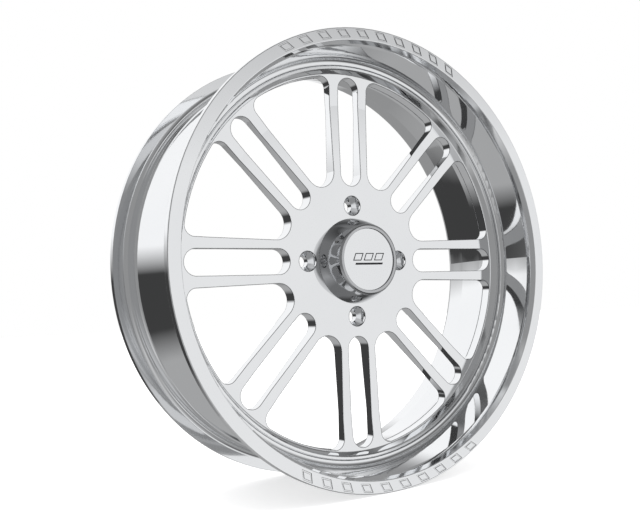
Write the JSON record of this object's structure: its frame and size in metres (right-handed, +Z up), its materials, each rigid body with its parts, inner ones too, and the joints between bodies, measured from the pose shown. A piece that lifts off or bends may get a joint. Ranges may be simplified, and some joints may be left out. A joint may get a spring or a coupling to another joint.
{
  "type": "wheel rim",
  "caption": "Deep-dish forged wheel rim with paired slim spokes, a tall push-in centre cap, four wheel-nut holes and a clamp-in tyre valve.",
  "frame": {"origin": "on the wheel axis, in the plane of the hub mounting face", "axes": "+Y along the wheel axis towards the vehicle, so the outboard face looks along -Y; +Z up through the spoke slot at 12 o'clock"},
  "size_m": [0.5426, 0.1744, 0.5426],
  "materials": {
    "polished_forging": "mirror-polished forged and milled aluminium",
    "polished_barrel": "mirror-polished rolled aluminium with fine turning marks",
    "weld_aluminium": "rippled, unpolished weld",
    "polished_cap": "mirror-polished turned aluminium",
    "cap_plate": "polished with engraved bars",
    "black_rubber": "matte moulded rubber",
    "seal_rubber": "matte moulded rubber",
    "nickelled_brass": "nickel-plated brass, turned",
    "bare_brass": "turned brass",
    "spring_steel": "drawn wire",
    "anodised_cap": "satin turned aluminium with knurling"
  },
  "bodies": {
    "wheel": {"wheel_centre": "polished_forging", "rim_barrel": "polished_barrel", "rear_weld_bead": "weld_aluminium", "valve_stem_body": "nickelled_brass", "valve_outer_grommet": "black_rubber", "valve_inner_grommet": "black_rubber", "valve_washer": "nickelled_brass", "valve_nut": "nickelled_brass", "valve_core_barrel": "bare_brass", "valve_core_head": "bare_brass", "valve_core_gasket": "seal_rubber", "valve_core_spring": "spring_steel"},
    "centre_cap": {"centre_cap_shell": "polished_cap", "centre_cap_face_plate": "cap_plate", "centre_cap_o_rings": "black_rubber"},
    "valve_cap_lift": {"valve_cap_seal": "seal_rubber"},
    "valve_cap": {"valve_cap_shell": "anodised_cap"},
    "valve_pin": {"valve_core_pin": "bare_brass", "valve_core_cup": "bare_brass", "valve_core_seat_seal": "seal_rubber"}
  },
  "joints": [
    {"name": "centre_cap_pull", "type": "slide", "parent": "wheel", "child": "centre_cap", "axis": [0, -1, 0], "range_m": [0, 0.045]},
    {"name": "valve_cap_rise", "type": "slide", "parent": "wheel", "child": "valve_cap_lift", "axis": [0.7036, 0.2079, -0.6795], "range_m": [0, 0.012]},
    {"name": "valve_cap_turn", "type": "hinge", "parent": "valve_cap_lift", "child": "valve_cap", "pos_m": [-0.17357, 0.0163, 0.16761], "axis": [0.7036, 0.2079, -0.6795], "range_deg": [0, 5441]},
    {"name": "valve_pin_press", "type": "slide", "parent": "wheel", "child": "valve_pin", "axis": [-0.7036, -0.2079, 0.6795], "range_m": [0, 0.0012], "stiffness_N_per_m": 900, "deforming": ["valve_core_spring"]}
  ],
  "couplings": [
    {"joint": "valve_cap_turn", "follows": "valve_cap_rise", "rad_per_m": 7913.3}
  ]
}
